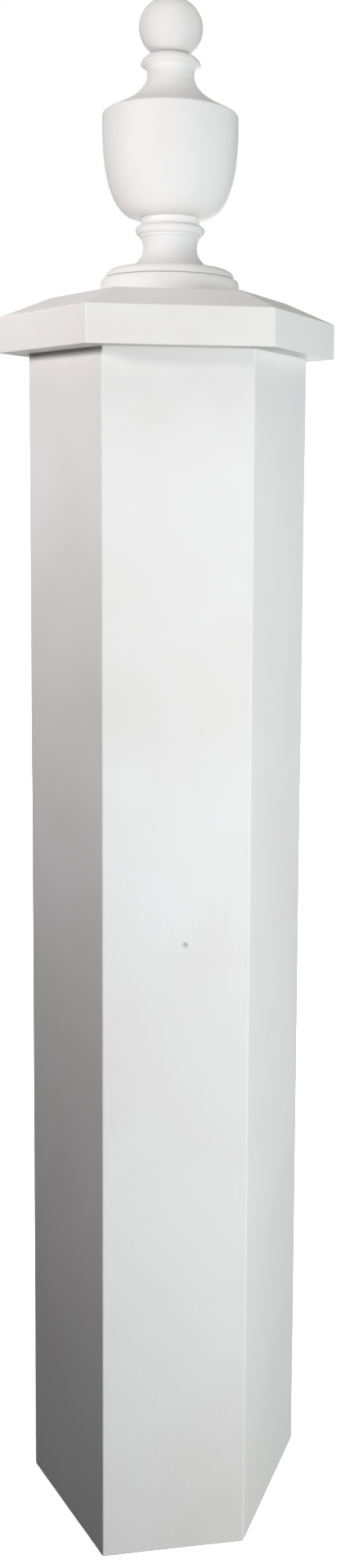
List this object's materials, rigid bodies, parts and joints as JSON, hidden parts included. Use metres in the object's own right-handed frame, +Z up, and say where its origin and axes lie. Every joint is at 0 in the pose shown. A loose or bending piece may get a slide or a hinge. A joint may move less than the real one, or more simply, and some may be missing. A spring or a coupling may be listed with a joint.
{
  "type": "newel post",
  "caption": "White painted hexagonal box newel post with an overhanging bevelled cap and a turned urn finial.",
  "frame": {"origin": "middle of the shaft's foot, on the surface that the post stands on", "axes": "+Z up along the shaft and the finial; two of the six faces look along +Y and -Y, and two corners point along +X and -X"},
  "size_m": [0.283, 0.245, 1.2861],
  "materials": {
    "painted_boards": "satin white paint on flat boards, edges lightly eased",
    "painted_turning": "satin white paint on turned wood"
  },
  "bodies": {
    "root": {"shaft": "painted_boards", "cap": "painted_boards", "finial": "painted_turning"}
  },
  "joints": []
}
